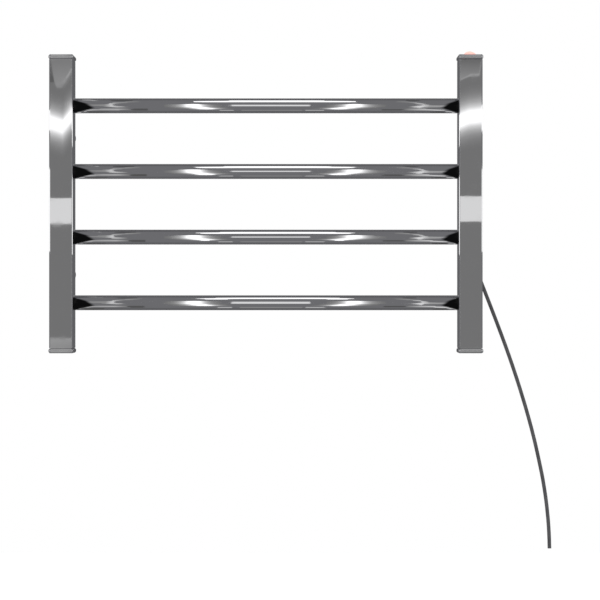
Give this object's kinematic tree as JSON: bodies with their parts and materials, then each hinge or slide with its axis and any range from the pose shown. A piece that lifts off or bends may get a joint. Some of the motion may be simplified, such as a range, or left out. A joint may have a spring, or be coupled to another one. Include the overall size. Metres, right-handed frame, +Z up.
{
  "type": "towel warmer rack",
  "caption": "Wall-hung electric towel rack: rectangular uprights joined by round heated rungs, on round wall posts, with a lit push button on top and a cord from the back.",
  "frame": {"origin": "centre of the pattern of the wall posts, on the wall's face", "axes": "+X along the rungs to the upright with the push button and the cord, +Y into the wall, +Z up along the uprights"},
  "size_m": [0.6457, 0.105, 0.6401],
  "materials": {
    "upright_chrome": "polished chrome plate",
    "rung_chrome": "polished chrome plate",
    "cap_chrome": "polished chrome plate",
    "post_chrome": "polished chrome plate",
    "fixing_steel": "zinc plated",
    "terminal_brass": "plain",
    "switch_plastic": "matt black moulding",
    "lens_plastic": "translucent light red, lit from inside",
    "lamp_plastic": "glowing lamp",
    "cord_rubber": "dark grey jacket",
    "heater_silicone": "silicone jacket",
    "sleeve_white": "heat-resistant sleeve",
    "live_brown": "wire cover",
    "neutral_blue": "wire cover",
    "earth_green": "wire cover"
  },
  "bodies": {
    "rack": {"upright_left": "upright_chrome", "upright_right": "upright_chrome", "rung_1": "rung_chrome", "rung_2": "rung_chrome", "rung_3": "rung_chrome", "rung_4": "rung_chrome", "end_cap_top_left": "cap_chrome", "end_cap_top_right": "cap_chrome", "end_cap_bottom_left": "cap_chrome", "end_cap_bottom_right": "cap_chrome", "wall_post_upper_left": "post_chrome", "wall_post_upper_right": "post_chrome", "wall_post_lower_left": "post_chrome", "wall_post_lower_right": "post_chrome", "wall_spigot_upper_left": "fixing_steel", "wall_spigot_upper_right": "fixing_steel", "wall_spigot_lower_left": "fixing_steel", "wall_spigot_lower_right": "fixing_steel", "grub_screw_upper_left": "fixing_steel", "grub_screw_upper_right": "fixing_steel", "grub_screw_lower_left": "fixing_steel", "grub_screw_lower_right": "fixing_steel", "bracket_stud_upper_left": "fixing_steel", "bracket_stud_upper_right": "fixing_steel", "bracket_stud_lower_left": "fixing_steel", "bracket_stud_lower_right": "fixing_steel", "weld_nut_upper_left": "fixing_steel", "weld_nut_upper_right": "fixing_steel", "weld_nut_lower_left": "fixing_steel", "weld_nut_lower_right": "fixing_steel", "switch_spring": "fixing_steel", "switch_housing": "switch_plastic", "switch_lamp": "lamp_plastic", "switch_screw_front": "fixing_steel", "switch_screw_back": "fixing_steel", "switch_tab_live": "terminal_brass", "switch_tab_switched": "terminal_brass", "cord_gland": "switch_plastic", "gland_nut": "switch_plastic", "cord_inner_end": "cord_rubber", "supply_cord": "cord_rubber", "heating_cable": "heater_silicone", "splice_lower": "sleeve_white", "splice_upper": "sleeve_white", "thermal_cutout": "sleeve_white", "lead_live": "live_brown", "lead_neutral": "neutral_blue", "lead_earth": "earth_green", "lead_switched": "live_brown", "lead_heater": "live_brown", "earth_stud": "terminal_brass", "earth_ring": "terminal_brass", "earth_nut": "terminal_brass"},
    "push_button": {"switch_lens": "lens_plastic", "switch_plunger": "switch_plastic"}
  },
  "joints": [
    {"name": "button_press", "type": "slide", "parent": "rack", "child": "push_button", "axis": [0, 0, -1], "range_m": [0, 0.002], "stiffness_N_per_m": 900, "springref_m": -0.0015, "deforming": ["switch_spring"]}
  ]
}
